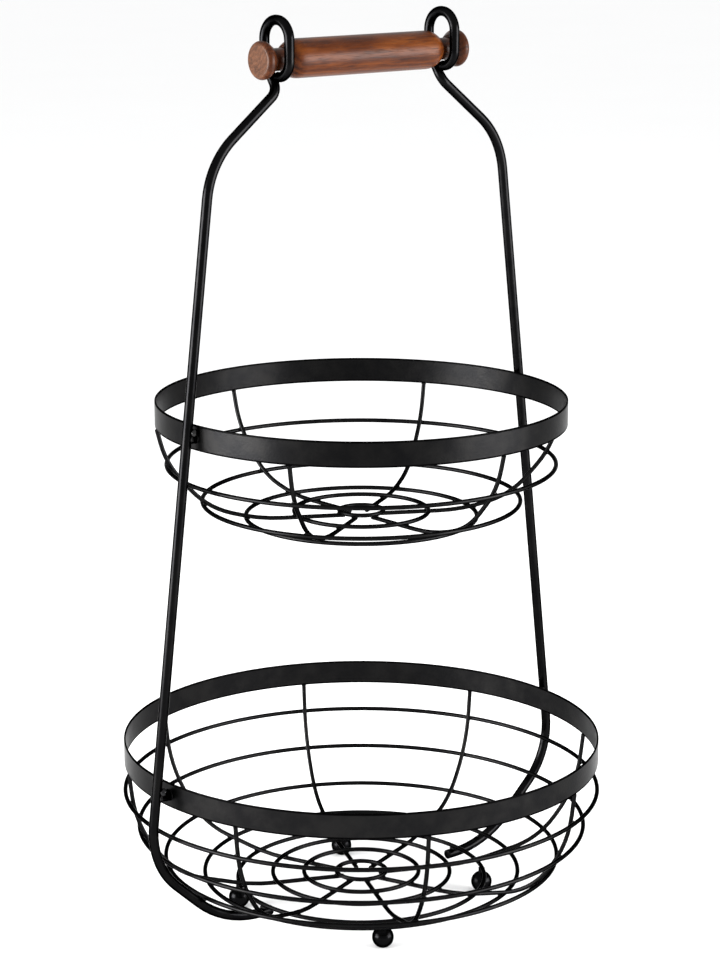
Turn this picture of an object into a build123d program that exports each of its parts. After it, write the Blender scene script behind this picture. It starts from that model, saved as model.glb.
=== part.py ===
from build123d import *
from math import acos, asin, atan2, ceil, cos, hypot, pi, radians, sin, sqrt, tan
import os

# A tiered wire basket: two round wire bowls, one above the other, held between two bent rods that rise
# to a turned wooden carrying handle. All lengths are in millimetres and all angles in degrees.
# The origin is on the floor under the centre of the bowls, +X runs along the handle and +Z is up.

# Stock
thin_wire = 2.5
rod_wire = 5.5
band_height = 14.0
band_thickness = 1.0
thin_wire_sides = 4
rod_sides = 8
hoop_flatness = 0.3
weld_gap = 0.05
seat_gap = 0.3
bend_room_share = 0.98

# Lower bowl
lower_rim_diameter = 270.0
lower_rim_height = 102.0
lower_floor_height = 15.2
lower_outline_shares = ((0.9725, 0.438), (0.798, 0.851), (0.474, 1.0))
lower_wall_bend = 70.0
lower_corner_bend = 45.0
lower_floor_bend = 100.0
lower_rib_count = 8
lower_first_rib_angle = 20.6
lower_rib_end_radius = 10.5
lower_side_ring_shares = (0.1, 0.234, 0.376)
lower_corner_ring_share = 0.5
lower_base_ring_share = 0.637
lower_floor_ring_shares = (0.756, 0.864, 0.983)

# Upper bowl
upper_rim_diameter = 228.8
upper_rim_height = 296.7
upper_floor_height = 229.6
upper_outline_shares = ((0.958, 0.363), (0.761, 0.848), (0.514, 1.0))
upper_wall_bend = 50.0
upper_corner_bend = 45.0
upper_floor_bend = 100.0
upper_rib_count = 6
upper_first_rib_angle = 31.3
upper_rib_end_radius = 9.3
upper_side_ring_shares = (0.173, 0.388)
upper_base_ring_share = 0.58
upper_floor_ring_shares = (0.784, 0.977)

# Feet
foot_diameter = 12.2
foot_sides = 8
foot_neck_diameter = 3.6
foot_count = 4
first_foot_angle = -30.0

# Rods and their spacers
overall_height = 508.0
upper_spacer_length = 2.4
lower_spacer_length = 5.7
spacer_diameter = 6.2
spacer_saddle_share = 0.4
shoulder_angle = 38.0
shoulder_bend = 45.0
stem_bend = 9.0
under_sweep_angle = 42.5
knee_bend = 45.0
foot_end_bend = 65.0
foot_end_overrun = 5.0

# Eyes at the rod tops
eye_side_clearance = 1.85
handle_travel = 11.5
leg_clearance = 0.45
eye_leg_drop = 0.7
eye_leg_bend = 12.0
eye_top_bend_share = 0.97
eye_tip_bend = 8.8

# Handle
handle_sides = 24
neck_diameter = 12.0
barrel_diameter = 21.0
barrel_length = 106.0
barrel_end_chamfer = 3.4
barrel_side_gap = 1.75
barrel_running_clearance = 0.08
knob_diameter = 20.5
knob_thickness = 8.2
knob_side_gap = 1.6
knob_outer_chamfer = 2.2
knob_inner_chamfer = 3.0
knob_socket_depth = 5.0
glue_gap = 0.05

# Sizes that follow from the ones above
thin_radius = thin_wire / 2
rod_radius = rod_wire / 2
neck_radius = neck_diameter / 2
lower_rim_radius = lower_rim_diameter / 2
upper_rim_radius = upper_rim_diameter / 2
foot_radius = foot_diameter / 2


def flat_reach(diameter, sides):
    """Distance from the centre to each side of an even-sided section with the round wire's own area."""
    return diameter / 2 * sqrt(pi / (sides * tan(pi / sides)))


thin_reach = flat_reach(thin_wire, thin_wire_sides)
rod_reach = flat_reach(rod_wire, rod_sides)


def sided_section(place, reach, sides):
    """An even-sided section in a plane, turned so that one side faces along the plane's own x."""
    half_step = 180 / sides
    return place * RegularPolygon(reach, sides, major_radius=False, rotation=half_step)


def turn_at(before, corner, after):
    """Angle in radians through which a path turns at a corner."""
    arriving = (Vector(*corner) - Vector(*before)).normalized()
    leaving = (Vector(*after) - Vector(*corner)).normalized()
    return acos(max(-1, min(1, arriving.dot(leaving))))


def bent_path(points, bends):
    """Straight runs joined by tangent bends, each bend no larger than its runs have room for."""
    runs = [(Vector(*b) - Vector(*a)).length for a, b in zip(points, points[1:])]
    half_turns = [turn_at(*points[i:i + 3]) / 2 for i in range(len(bends))]
    reaches = [0] + [bend * tan(half) for bend, half in zip(bends, half_turns)] + [0]
    fits = [min(1, bend_room_share * run / (reaches[i] + reaches[i + 1])) for i, run in enumerate(runs)]
    radii = [bend * min(fits[i], fits[i + 1]) for i, bend in enumerate(bends)]
    return FilletPolyline(*points, radius=radii)


def bowl_outline(rim_radius, rim_height, floor_height, shares, end_radius, bends):
    """Centreline of a rib in the XZ plane, from the band's lower edge to near the bowl's middle."""
    start_radius = rim_radius - band_thickness / 2
    band_edge = rim_height - band_height
    first_across, first_down = shares[0]
    lean = atan2(start_radius * (1 - first_across), (band_edge - floor_height) * first_down)
    start_height = band_edge - weld_gap - thin_reach * sin(lean)
    depth = start_height - floor_height
    corners = [(start_radius * across, 0, start_height - depth * down) for across, down in shares]
    points = [(start_radius, 0, start_height), *corners, (end_radius, 0, floor_height)]
    return bent_path(points, bends)


def outline_place(outline, share):
    """Point of the outline at a share of its length, with its outward direction across the wire."""
    at = outline.length * share
    point = outline.position_at(at, position_mode=PositionMode.LENGTH)
    along = outline.tangent_at(at, position_mode=PositionMode.LENGTH)
    return point, Vector(-along.Z, 0, along.X)


def ring_centre(outline, share, side):
    """Centre of a ring's wire where it lies on the rib, outside it for side 1 and inside for side -1."""
    point, outward = outline_place(outline, share)
    return point + outward * side * (2 * thin_reach + weld_gap), outward


def ring(outline, share, side, rib_count, first_rib_angle):
    """One wire hoop, a closed run of short straight sides with the middle of a side on every rib."""
    centre, outward = ring_centre(outline, share, side)
    sides_needed = pi * sqrt(centre.X / (2 * hoop_flatness))
    sides = rib_count * ceil(sides_needed / rib_count)
    half_side = 180 / sides
    corner_radius = centre.X / cos(radians(half_side))
    loop = (Pos(0, 0, centre.Z) * RegularPolygon(corner_radius, sides, rotation=half_side)).wire()
    along = loop % 0
    level = Vector(along.Y, -along.X, 0)
    facing = level * outward.X + Vector(0, 0, outward.Z)
    place = Plane(origin=loop @ 0, x_dir=facing, z_dir=along)
    hoop = sweep(sided_section(place, thin_reach, thin_wire_sides), path=loop, transition=Transition.RIGHT)
    return Rot(0, 0, first_rib_angle) * hoop


def rib(outline, angle):
    """One bent rib of a bowl, turned to its place round the bowl."""
    along = outline % 0
    across = Vector(-along.Z, 0, along.X)
    place = Plane(origin=outline @ 0, x_dir=across, z_dir=along)
    return Rot(0, 0, angle) * sweep(sided_section(place, thin_reach, thin_wire_sides), path=outline)


def band(rim_radius, rim_height):
    """The flat strip that is rolled to a hoop and closes the rim of a bowl."""
    middle = Vector(rim_radius - band_thickness / 2, 0, rim_height - band_height / 2)
    strip = Plane(origin=middle, x_dir=(1, 0, 0), z_dir=(0, -1, 0)) * Rectangle(band_thickness, band_height)
    return revolve(strip, Axis.Z, 360)


def bowl_rings(outline, shares, side, rib_count, first_rib_angle):
    """The hoops that lie on one side of a bowl's ribs, from the rim down."""
    return [ring(outline, share, side, rib_count, first_rib_angle) for share in shares]


def bowl_ribs(outline, rib_count, first_rib_angle):
    """All the ribs of a bowl."""
    return [rib(outline, first_rib_angle + 360 / rib_count * i) for i in range(rib_count)]


# Lower bowl
lower_outline = bowl_outline(
    lower_rim_radius, lower_rim_height, lower_floor_height, lower_outline_shares,
    lower_rib_end_radius, (lower_wall_bend, lower_corner_bend, lower_floor_bend))
lower_outer_shares = (*lower_side_ring_shares, lower_corner_ring_share, lower_base_ring_share)
lower_layout = (lower_rib_count, lower_first_rib_angle)
*lower_side_rings, lower_corner_ring, lower_base_ring = bowl_rings(
    lower_outline, lower_outer_shares, 1, *lower_layout)
lower_floor_rings = bowl_rings(lower_outline, lower_floor_ring_shares, -1, *lower_layout)
lower_ribs = bowl_ribs(lower_outline, *lower_layout)

# Upper bowl
upper_outline = bowl_outline(
    upper_rim_radius, upper_rim_height, upper_floor_height, upper_outline_shares,
    upper_rib_end_radius, (upper_wall_bend, upper_corner_bend, upper_floor_bend))
upper_outer_shares = (*upper_side_ring_shares, upper_base_ring_share)
upper_layout = (upper_rib_count, upper_first_rib_angle)
*upper_side_rings, upper_base_ring = bowl_rings(upper_outline, upper_outer_shares, 1, *upper_layout)
upper_floor_rings = bowl_rings(upper_outline, upper_floor_ring_shares, -1, *upper_layout)
upper_ribs = bowl_ribs(upper_outline, *upper_layout)

# Feet, each a ball on a short neck under the lower base ring, standing on a small flat
base_ring_centre = ring_centre(lower_outline, lower_base_ring_share, 1)[0]
base_ring_underside = base_ring_centre.Z - thin_radius - weld_gap


def foot(angle):
    """One ball foot with its neck, both with the same few sides round them and the ball with them over it."""
    half_step = 180 / foot_sides
    corner_cut = foot_radius * (1 - tan(radians(half_step)))
    ball_outline = RegularPolygon(foot_radius, foot_sides, major_radius=False, rotation=half_step)
    ball = extrude(ball_outline, foot_diameter)
    ball = chamfer(ball.edges().filter_by(Axis.Z, reverse=True), corner_cut)
    neck_outline = RegularPolygon(foot_neck_diameter / 2, foot_sides, major_radius=False, rotation=half_step)
    neck = Pos(0, 0, foot_diameter) * extrude(neck_outline, base_ring_underside - foot_diameter)
    return Rot(0, 0, angle) * Pos(base_ring_centre.X, 0, 0) * (ball + neck)


feet = [foot(first_foot_angle + 360 / foot_count * i) for i in range(foot_count)]

# Handle heights and the eye that holds its neck
eye_top = overall_height - rod_radius
eye_half_width = neck_radius + rod_radius + eye_side_clearance
handle_height = eye_top - rod_radius - seat_gap - handle_travel - neck_radius
eye_bottom = handle_height - neck_radius - seat_gap - rod_radius
eye_x = barrel_length / 2 + barrel_side_gap + rod_radius

# The leg of the eye that comes up from the stem passes the neck at this distance from the handle's axis
leg_miss = neck_radius + rod_radius + leg_clearance
leg_top = handle_height - eye_leg_drop
leg_heading = atan2(eye_leg_drop, -eye_half_width) + asin(leg_miss / hypot(eye_half_width, eye_leg_drop))
stem_top = leg_top - eye_half_width * tan(leg_heading)

# The wire's end comes back under the neck and stops clear of the leg
tip_below = eye_bottom - rod_radius - stem_top
tip_y = (-tip_below * cos(leg_heading) - rod_radius - seat_gap) / -sin(leg_heading)

# The rod's long side is a straight line that passes both bands at the length of their spacers
upper_band_middle = upper_rim_height - band_height / 2
lower_band_middle = lower_rim_height - band_height / 2
upper_line_radius = upper_rim_radius + upper_spacer_length + rod_radius
lower_line_radius = lower_rim_radius + lower_spacer_length + rod_radius
line_slope = (lower_line_radius - upper_line_radius) / (upper_band_middle - lower_band_middle)
line_foot_radius = lower_line_radius + line_slope * lower_band_middle

# Shoulder, where the side line meets the slope that runs up to the stem
shoulder_slope = tan(radians(shoulder_angle))
shoulder_height = (stem_top + shoulder_slope * (eye_x - line_foot_radius)) / (1 - shoulder_slope * line_slope)
shoulder_radius = line_foot_radius - line_slope * shoulder_height

# Under sweep, the slanted run that passes just outside the lower bowl's rings
under_sin = sin(radians(under_sweep_angle))
under_cos = cos(radians(under_sweep_angle))
outer_centres = [ring_centre(lower_outline, share, 1)[0] for share in lower_outer_shares]
ring_reaches = [centre.X * under_sin - centre.Z * under_cos for centre in outer_centres]
under_offset = max(ring_reaches) + thin_radius + rod_radius + seat_gap
knee_height = (line_foot_radius * under_sin - under_offset) / (line_slope * under_sin + under_cos)
knee_radius = line_foot_radius - line_slope * knee_height
rod_end_height = base_ring_underside - seat_gap / 2 - rod_radius
ankle_radius = (under_offset + rod_end_height * under_cos) / under_sin
rod_end_radius = base_ring_centre.X - foot_end_overrun

rod_points = [
    (rod_end_radius, 0, rod_end_height),
    (ankle_radius, 0, rod_end_height),
    (knee_radius, 0, knee_height),
    (shoulder_radius, 0, shoulder_height),
    (eye_x, 0, stem_top),
    (eye_x, eye_half_width, leg_top),
    (eye_x, eye_half_width, eye_top),
    (eye_x, -eye_half_width, eye_top),
    (eye_x, -eye_half_width, eye_bottom),
    (eye_x, tip_y, eye_bottom),
]
eye_top_bend = eye_half_width * eye_top_bend_share
rod_bends = [
    foot_end_bend, knee_bend, shoulder_bend, stem_bend, eye_leg_bend, eye_top_bend, eye_top_bend, eye_tip_bend]
rod_path = bent_path(rod_points, rod_bends)
rod_start = Plane(origin=rod_path @ 0, x_dir=(0, 0, 1), z_dir=(1, 0, 0))
right_rod = sweep(sided_section(rod_start, rod_reach, rod_sides), path=rod_path)
left_rod = mirror(right_rod, about=Plane.YZ)


def rod_line_radius(height):
    """Distance of the rod's straight side from the middle of the basket at a height."""
    return line_foot_radius - line_slope * height


def spacer(rim_radius, height):
    """A short round stub between a band and the right rod, hollowed at its end to sit on the rod."""
    inner = rim_radius + weld_gap
    outer = rod_line_radius(height) - rod_reach * (1 - spacer_saddle_share)
    face = Plane(origin=(inner, 0, height), x_dir=(0, 1, 0), z_dir=(1, 0, 0))
    stub = extrude(sided_section(face, spacer_diameter / 2, rod_sides), outer - inner)
    centre = Vector(rod_line_radius(height), 0, height)
    upward = Vector(-line_slope, 0, 1).normalized()
    place = Plane(origin=centre, x_dir=Vector(upward.Z, 0, -upward.X), z_dir=upward)
    room = sided_section(place, rod_reach + weld_gap, rod_sides)
    return stub - extrude(room, spacer_diameter, both=True)


right_upper_spacer = spacer(upper_rim_radius, upper_band_middle)
right_lower_spacer = spacer(lower_rim_radius, lower_band_middle)


def handle_bar(radius, start, end):
    """A plain round bar on the handle's axis between two places along X."""
    return Pos((start + end) / 2, 0, handle_height) * Rot(0, 90, 0) * Cylinder(radius, end - start)


def turned_piece(diameter, start, end, start_chamfer, end_chamfer):
    """A many-sided bar about the handle's axis, with both of its rims broken."""
    face = Plane(origin=(start, 0, handle_height), x_dir=(0, 1, 0), z_dir=(1, 0, 0))
    blank = extrude(sided_section(face, diameter / 2, handle_sides), end - start)
    blank = chamfer(blank.edges().group_by(Axis.X)[0], start_chamfer)
    return chamfer(blank.edges().group_by(Axis.X)[-1], end_chamfer)


# Handle
barrel_end = barrel_length / 2
knob_inner_face = eye_x + rod_radius + knob_side_gap
knob_outer_face = knob_inner_face + knob_thickness
socket_floor = knob_inner_face + knob_socket_depth
dowel_end = socket_floor - glue_gap
barrel_blank = turned_piece(barrel_diameter, -barrel_end, barrel_end, barrel_end_chamfer, barrel_end_chamfer)
handle_barrel = barrel_blank - handle_bar(neck_radius + barrel_running_clearance, -barrel_length, barrel_length)
handle_dowel = handle_bar(neck_radius, -dowel_end, dowel_end)
knob_blank = turned_piece(
    knob_diameter, knob_inner_face, knob_outer_face, knob_inner_chamfer, knob_outer_chamfer)
right_knob = knob_blank - handle_bar(neck_radius + glue_gap, eye_x, socket_floor)

nodes = {
    "left_rod": left_rod,
    "right_rod": right_rod,
    "upper_band": band(upper_rim_radius, upper_rim_height),
    "lower_band": band(lower_rim_radius, lower_rim_height),
    "lower_corner_ring": lower_corner_ring,
    "lower_base_ring": lower_base_ring,
    "upper_base_ring": upper_base_ring,
    "left_upper_spacer": mirror(right_upper_spacer, about=Plane.YZ),
    "right_upper_spacer": right_upper_spacer,
    "left_lower_spacer": mirror(right_lower_spacer, about=Plane.YZ),
    "right_lower_spacer": right_lower_spacer,
    "handle_barrel": handle_barrel,
    "handle_dowel": handle_dowel,
    "handle_knob_left": mirror(right_knob, about=Plane.YZ),
    "handle_knob_right": right_knob,
}
repeated_pieces = {
    "lower_side_ring": lower_side_rings,
    "lower_floor_ring": lower_floor_rings,
    "lower_rib": lower_ribs,
    "upper_side_ring": upper_side_rings,
    "upper_floor_ring": upper_floor_rings,
    "upper_rib": upper_ribs,
    "foot": feet,
}
for name, pieces in repeated_pieces.items():
    for number, piece in enumerate(pieces, 1):
        nodes[f"{name}_{number}"] = piece

os.makedirs("parts", exist_ok=True)
for name, piece in nodes.items():
    export_step(piece, f"parts/{name}.step")
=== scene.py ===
"""Looks of a free-standing two-tier wire basket with a turned wooden carrying handle.

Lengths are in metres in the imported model's own frame: the origin is on the floor under the middle of the
bowls, +X runs along the handle and +Z is up. Sizes that a drawing would give in millimetres are written as
a number times MM.
"""

import logging
from collections.abc import Iterable, Mapping, Sequence
from dataclasses import dataclass, replace
from enum import Enum
from functools import cache
from math import acos, asin, atan2, ceil, cos, hypot, pi, radians, sin, sqrt, tan
from typing import Any

import bmesh
import bpy
from mathutils import Matrix, Vector


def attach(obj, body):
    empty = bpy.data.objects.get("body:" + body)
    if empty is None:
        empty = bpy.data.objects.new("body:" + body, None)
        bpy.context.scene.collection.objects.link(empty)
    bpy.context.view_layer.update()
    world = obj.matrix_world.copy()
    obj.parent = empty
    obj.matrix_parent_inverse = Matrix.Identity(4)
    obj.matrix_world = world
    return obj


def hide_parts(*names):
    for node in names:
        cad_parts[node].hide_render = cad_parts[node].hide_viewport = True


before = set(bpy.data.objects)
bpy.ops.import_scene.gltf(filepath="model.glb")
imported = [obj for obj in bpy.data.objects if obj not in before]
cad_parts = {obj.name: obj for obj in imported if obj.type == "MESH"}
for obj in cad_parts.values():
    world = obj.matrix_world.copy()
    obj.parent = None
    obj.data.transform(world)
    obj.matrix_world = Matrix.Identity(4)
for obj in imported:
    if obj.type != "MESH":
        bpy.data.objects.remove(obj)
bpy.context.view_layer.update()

MM = 0.001
FULL_TURN = 2 * pi
ORIGIN = Vector((0, 0, 0))
AXIS_X = Vector((1, 0, 0))
AXIS_Y = Vector((0, 1, 0))
AXIS_Z = Vector((0, 0, 1))
MERGE_DISTANCE = 0.002 * MM
SHARP_ANGLE = radians(42)

log = logging.getLogger("wire_basket")

Triple = tuple[float, float, float]
Colour = Triple


class Body(Enum):
    """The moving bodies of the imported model."""

    FRAME = "frame"
    HANDLE_CORE = "handle_core"
    GRIP = "grip"


class Slot(Enum):
    """The record's material slots."""

    THIN_WIRE = "thin_wire"
    ROD_WIRE = "rod_wire"
    RIM_BAND = "rim_band"
    TURNED_WOOD = "turned_wood"
    DOWEL_WOOD = "dowel_wood"


class RingSide(Enum):
    """The side of a bowl's ribs on which a ring lies."""

    OUTSIDE = 1
    INSIDE = -1


class Hand(Enum):
    """Which end of the handle a mirrored piece stands at."""

    RIGHT = 1
    LEFT = -1


# Shader maths


class Socket:
    """A shader value on which Python's operators work: each adds the Math node that it needs."""

    def __init__(self, graph: "ShaderGraph", output: bpy.types.NodeSocket) -> None:
        """Wraps a node's output socket, in its material's graph."""
        self.graph = graph
        self.output = output

    def _math(self, operation: str, *values: "Socket | float") -> "Socket":
        """Result of one Math node, from Blender's name of the operation and its values in order."""
        return self.graph.value("ShaderNodeMath", {"operation": operation}, dict(enumerate(values)))

    def __add__(self, other: "Socket | float") -> "Socket":
        """Sum."""
        return self._math("ADD", self, other)

    __radd__ = __add__

    def __sub__(self, other: "Socket | float") -> "Socket":
        """Difference."""
        return self._math("SUBTRACT", self, other)

    def __rsub__(self, other: float) -> "Socket":
        """Difference from a number in front."""
        return self._math("SUBTRACT", other, self)

    def __mul__(self, other: "Socket | float") -> "Socket":
        """Product."""
        return self._math("MULTIPLY", self, other)

    __rmul__ = __mul__

    def root(self) -> "Socket":
        """Square root."""
        return self._math("SQRT", self)

    def size(self) -> "Socket":
        """Value without its sign."""
        return self._math("ABSOLUTE", self)

    def wave(self) -> "Socket":
        """Sine of an angle in radians, brought between 0 and 1."""
        return self._math("SINE", self) * 0.5 + 0.5

    def between(self, low: float, high: float) -> "Socket":
        """A soft step, from 0 where the value is at low to 1 where it is at high."""
        limits = {"Value": self, "From Min": low, "From Max": high}
        return self.graph.value("ShaderNodeMapRange", {"interpolation_type": "SMOOTHSTEP"}, limits)

    def towards(self, other: "Socket", share: float) -> "Socket":
        """A value that lies this share of the way to another one."""
        return self * (1 - share) + other * share

    def span(self, low: float, high: float) -> "Socket":
        """Low where the value is 0 and high where it is 1."""
        return low + (high - low) * self


@dataclass(frozen=True)
class Pattern:
    """Soft random variation: its size, its finer layers, where it is cut, and how it is drawn out."""

    size: float
    detail: float = 2
    roughness: float = 0.5
    low: float = 0
    high: float = 1
    squeeze_along_x: float = 1


class ShaderGraph:
    """One material's nodes, from the coordinates on a piece to its Principled shader."""

    def __init__(self, name: str, centre: Triple = (0, 0, 0)) -> None:
        """Makes an empty material.

        Args:
            name: The finish's own name.
            centre: The point of the piece that its patterns start from.
        """
        self.centre = centre
        self.material = bpy.data.materials.new(name)
        self.material.use_nodes = True
        self.tree = self.material.node_tree
        self.tree.nodes.clear()

    def node(
        self, kind: str, settings: Mapping[str, Any] | None = None, inputs: Mapping[Any, Any] | None = None
    ) -> bpy.types.Node:
        """Adds a node, sets it up, then fills its sockets.

        Args:
            kind: Blender's type name of the node.
            settings: Its own settings; "stops" are the places and colours of a Color Ramp.
            inputs: Values, colours or links by the socket's identifier, name or number.

        Returns:
            The node.
        """
        node = self.tree.nodes.new(kind)
        for name, value in (settings or {}).items():
            if name == "stops":
                self._set_stops(node.color_ramp, value)
            else:
                setattr(node, name, value)
        for key, value in (inputs or {}).items():
            socket = next((item for item in node.inputs if item.identifier == key), None) or node.inputs[key]
            source = value.output if isinstance(value, Socket) else value
            if isinstance(source, bpy.types.NodeSocket):
                self.tree.links.new(source, socket)
            else:
                socket.default_value = source
        return node

    @staticmethod
    def _set_stops(ramp: bpy.types.ColorRamp, stops: Sequence[tuple[float, Colour]]) -> None:
        """Gives a ramp its colours.

        Args:
            ramp: The ramp, which starts with two stops.
            stops: Place and colour of each stop, in rising order.
        """
        while len(ramp.elements) < len(stops):
            ramp.elements.new(1.0)
        for element, (place, colour) in zip(ramp.elements, stops):
            element.position = place
            element.color = (*colour, 1)

    def value(self, kind: str, settings: Mapping[str, Any], inputs: Mapping[Any, Any]) -> Socket:
        """A new node's first output, as a value for Python's operators."""
        return Socket(self, self.node(kind, settings, inputs).outputs[0])

    def object_place(self, squeeze_along_x: float = 1) -> bpy.types.NodeSocket:
        """Object coordinates about the centre.

        Args:
            squeeze_along_x: Factor along X, under 1 where a pattern is drawn out.

        Returns:
            The coordinates.
        """
        place = self.node("ShaderNodeTexCoord").outputs["Object"]
        centred = self.node("ShaderNodeVectorMath", {"operation": "SUBTRACT"}, {0: place, 1: self.centre})
        sockets = {"Vector": centred.outputs[0], "Scale": (squeeze_along_x, 1, 1)}
        return self.node("ShaderNodeMapping", None, sockets).outputs[0]

    def noise(self, pattern: Pattern) -> Socket:
        """A pattern before it is cut.

        Args:
            pattern: The pattern.

        Returns:
            A value about 0.5.
        """
        place, scale = self.object_place(pattern.squeeze_along_x), 1 / pattern.size
        sockets = {"Vector": place, "Scale": scale, "Detail": pattern.detail, "Roughness": pattern.roughness}
        return self.value("ShaderNodeTexNoise", {"noise_dimensions": "3D"}, sockets)

    def patches(self, pattern: Pattern) -> Socket:
        """A pattern cut into patches, 0 at its low value and 1 at its high one."""
        return self.noise(pattern).between(pattern.low, pattern.high)

    def ramp(self, value: Socket, stops: Iterable[tuple[float, Colour]]) -> bpy.types.NodeSocket:
        """Colour for a value, from places and colours in rising order."""
        return self.node("ShaderNodeValToRGB", {"stops": tuple(stops)}, {"Fac": value}).outputs["Color"]

    def mix(self, share: Socket, first: Any, second: Any, blend: str = "MIX") -> bpy.types.NodeSocket:
        """Mixes two colours.

        Args:
            share: Share of the second colour.
            first: Colour socket or colour.
            second: Colour socket or colour.
            blend: Blender's name of the way of mixing.

        Returns:
            The mixed colour.
        """
        settings = {"data_type": "RGBA", "blend_type": blend, "clamp_factor": True}
        colours = {
            name: value if isinstance(value, bpy.types.NodeSocket) else (*value, 1)
            for name, value in (("A_Color", first), ("B_Color", second))
        }
        node = self.node("ShaderNodeMix", settings, {"Factor_Float": share, **colours})
        return next(socket for socket in node.outputs if socket.identifier == "Result_Color")

    def bump(self, height: Socket, depth: float) -> bpy.types.NodeSocket:
        """The normal bent by a relief from 0 to 1, of a depth in metres."""
        return self.node("ShaderNodeBump", None, {"Height": height, "Distance": depth}).outputs["Normal"]

    def surface(self, sockets: Mapping[str, Any]) -> bpy.types.Material:
        """Ends the graph in a Principled shader.

        Args:
            sockets: Values and links by the shader's socket names.

        Returns:
            The finished material.
        """
        shader = self.node("ShaderNodeBsdfPrincipled", None, sockets)
        self.node("ShaderNodeOutputMaterial", None, {"Surface": shader.outputs["BSDF"]})
        return self.material


# Finishes


@dataclass(frozen=True)
class CoatedSteel:
    """Satin black baked coating on steel, with a faint orange peel and thinner colour in places.

    It is shaded as a very dark metal, whose edge tint keeps its rim from flaring up against a white room.
    """

    name: str
    slot: Slot
    deep: Colour = (0.0042, 0.0042, 0.0045)
    thin: Colour = (0.0072, 0.0070, 0.0070)
    roughness: tuple[float, float] = (0.17, 0.30)
    clouds: Pattern = Pattern(14 * MM, 3, 0.6, 0.35, 0.68)
    peel: Pattern = Pattern(1.3 * MM)
    grit: Pattern = Pattern(0.35 * MM, 1, 0.5, 0.6, 0.78)
    speck_share: float = 0.4
    peel_share: float = 0.5
    grit_share: float = 0.3
    relief_depth: float = 0.014 * MM
    edge_tint: float = 0.30

    def material(self) -> bpy.types.Material:
        """Makes the finish.

        Returns:
            The material.
        """
        graph = ShaderGraph(self.name)
        clouds, peel, grit = graph.patches(self.clouds), graph.noise(self.peel), graph.noise(self.grit)
        specks = grit.between(self.grit.low, self.grit.high)
        relief = peel.towards(grit, self.grit_share)
        return graph.surface({
            "Base Color": graph.mix(clouds.towards(specks, self.speck_share), self.deep, self.thin),
            "Roughness": clouds.towards(peel, self.peel_share).span(*self.roughness),
            "Metallic": 1.0,
            "Specular Tint": (self.edge_tint, self.edge_tint, self.edge_tint, 1),
            "Normal": graph.bump(relief, self.relief_depth),
        })


@dataclass(frozen=True)
class StainedWood:
    """Turned hardwood, stained red-brown and lacquered, with its grain along the handle.

    Its stain goes from dark to light, each colour at a tone of its own, and the tone is a sum of rings,
    blotches and fibres. Each tint is a colour that darkens the wood from one distance along the handle to
    another, where it is full; the handle's tints paint shade, on the knobs' sides along with side grain.
    """

    name: str
    slot: Slot
    centre: Triple
    tints: tuple[tuple[float, float, Colour], ...]
    stain: tuple[Colour, ...] = (
        (0.011, 0.0022, 0.0006), (0.047, 0.0100, 0.0012), (0.088, 0.0215, 0.0027), (0.145, 0.0470, 0.0092))
    stain_tones: tuple[float, ...] = (0.26, 0.44, 0.60, 0.80)
    pith: tuple[float, float] = (17 * MM, -12 * MM)
    ring_spacing: float = 2.7 * MM
    ring_wander: float = 6.5 * MM
    wander: Pattern = Pattern(11 * MM, 3, 0.55, squeeze_along_x=0.22)
    drift: Pattern = Pattern(5 * MM, squeeze_along_x=0.22)
    blotches: Pattern = Pattern(7 * MM, 4, 0.62, squeeze_along_x=0.22)
    streaks: Pattern = Pattern(3.2 * MM, 2, 0.6, 0.57, 0.70, 0.10)
    fibres: Pattern = Pattern(0.55 * MM, 3, 0.6, squeeze_along_x=0.045)
    pores: Pattern = Pattern(0.32 * MM, 1, 0.5, 0.60, 0.72, 0.045)
    tone_shares: Triple = (0.13, 0.62, 0.30)
    tone_shift: float = -0.03
    streak_strength: float = 0.62
    pore_strength: float = 0.55
    roughness: tuple[float, float] = (0.28, 0.42)
    blotch_share: float = 0.4
    pore_share: float = 0.6
    pore_depth: float = 0.06 * MM
    lacquer: float = 0.02
    lacquer_roughness: float = 0.26
    specular: float = 0.085

    def material(self) -> bpy.types.Material:
        """Makes the finish.

        Returns:
            The material.
        """
        graph = ShaderGraph(self.name, self.centre)
        wander, drift, blotches, fibres = (
            graph.noise(pattern) for pattern in (self.wander, self.drift, self.blotches, self.fibres))
        streaks, pores = graph.patches(self.streaks), graph.patches(self.pores)
        parts = graph.node("ShaderNodeSeparateXYZ", None, {0: graph.object_place()}).outputs
        along, across, upward = (Socket(graph, part) for part in parts)
        across = across - self.pith[0] + (wander - 0.5) * self.ring_wander
        upward = upward - self.pith[1] + (drift - 0.5) * self.ring_wander
        from_pith = (across * across + upward * upward).root()
        rings = (from_pith * (FULL_TURN / self.ring_spacing)).wave()
        ring_share, blotch_share, fibre_share = self.tone_shares
        tone = rings * ring_share + blotches * blotch_share + fibres * fibre_share + self.tone_shift
        dark = self.stain[0]
        colour = graph.ramp(tone, zip(self.stain_tones, self.stain))
        colour = graph.mix(streaks * self.streak_strength, colour, dark)
        colour = graph.mix(pores * self.pore_strength, colour, dark)
        from_middle = along.size()
        # On the handle these tints paint shade.
        for start, full, tint in self.tints:
            colour = graph.mix(from_middle.between(start, full), colour, tint, "MULTIPLY")
        return graph.surface({
            "Base Color": colour,
            "Roughness": fibres.towards(blotches, self.blotch_share).span(*self.roughness),
            "Specular IOR Level": self.specular,
            "Coat Weight": self.lacquer,
            "Coat Roughness": self.lacquer_roughness,
            "Normal": graph.bump(1 - fibres.towards(pores, self.pore_share), self.pore_depth),
        })


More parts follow.
